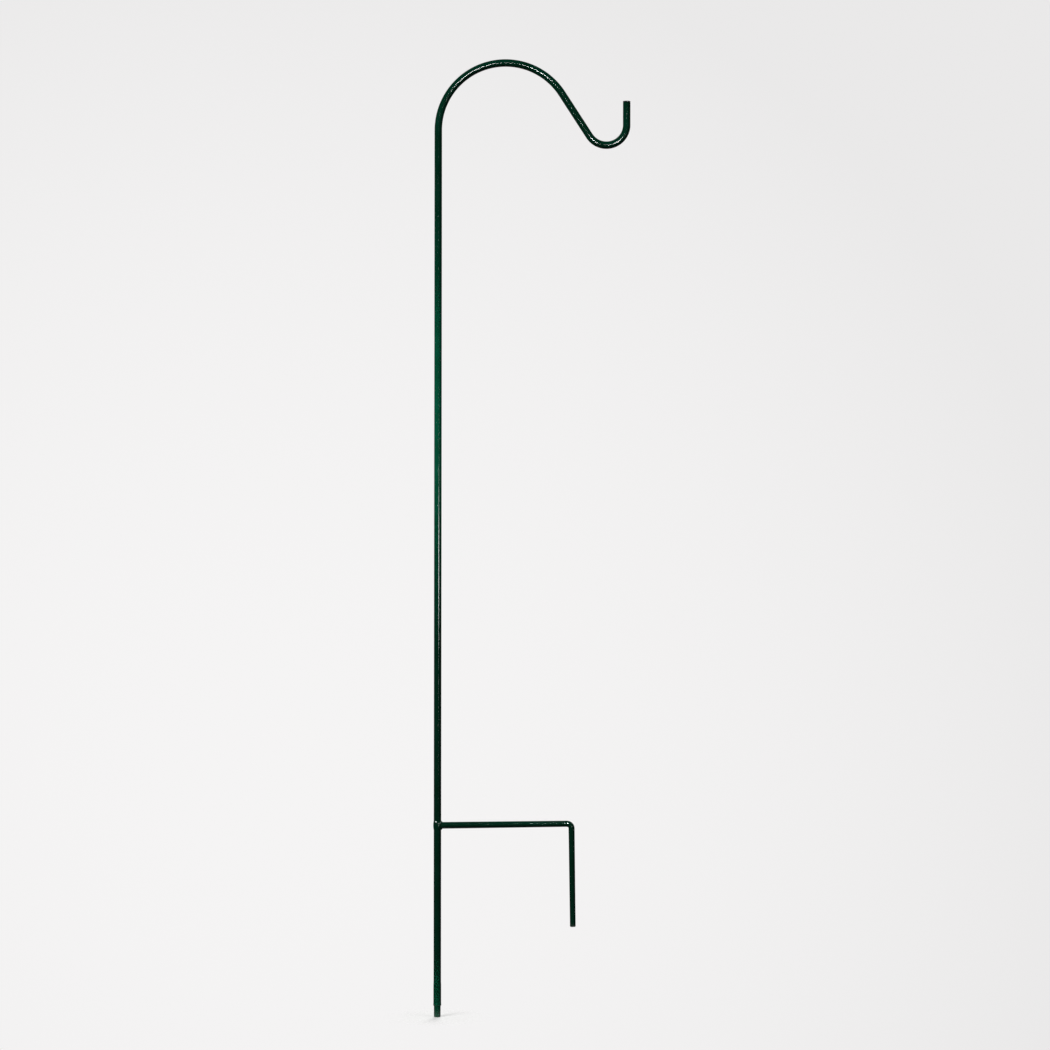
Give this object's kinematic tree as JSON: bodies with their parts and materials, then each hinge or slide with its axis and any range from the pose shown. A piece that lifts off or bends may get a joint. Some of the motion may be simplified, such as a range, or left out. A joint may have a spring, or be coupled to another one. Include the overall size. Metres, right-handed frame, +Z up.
{
  "type": "hanging plant stand",
  "caption": "Garden shepherd's hook: a bent steel tube on a stake with a step-in ground brace, and an open hook at the top that holds a hanging plant.",
  "frame": {"origin": "on the pole's axis at ground level, level with the underside of the brace's bar where it meets the pole", "axes": "+Z up along the pole, +X from the pole towards the hook and the brace, the whole object flat in the XZ plane"},
  "size_m": [0.3334, 0.016, 1.626],
  "materials": {
    "green_coat": "glossy dark green powder coat on steel tube",
    "tip_plastic": "satin black moulded plastic",
    "foot_coat": "dark green coat, worn at the end",
    "brace_coat": "glossy dark green powder coat on steel rod",
    "weld_coat": "glossy dark green powder coat over a rippled weld bead"
  },
  "bodies": {
    "root": {"crook_pole": "green_coat", "hook_tip_plug": "tip_plastic", "foot_plug": "foot_coat", "ground_brace": "brace_coat", "brace_weld": "weld_coat"}
  },
  "joints": []
}
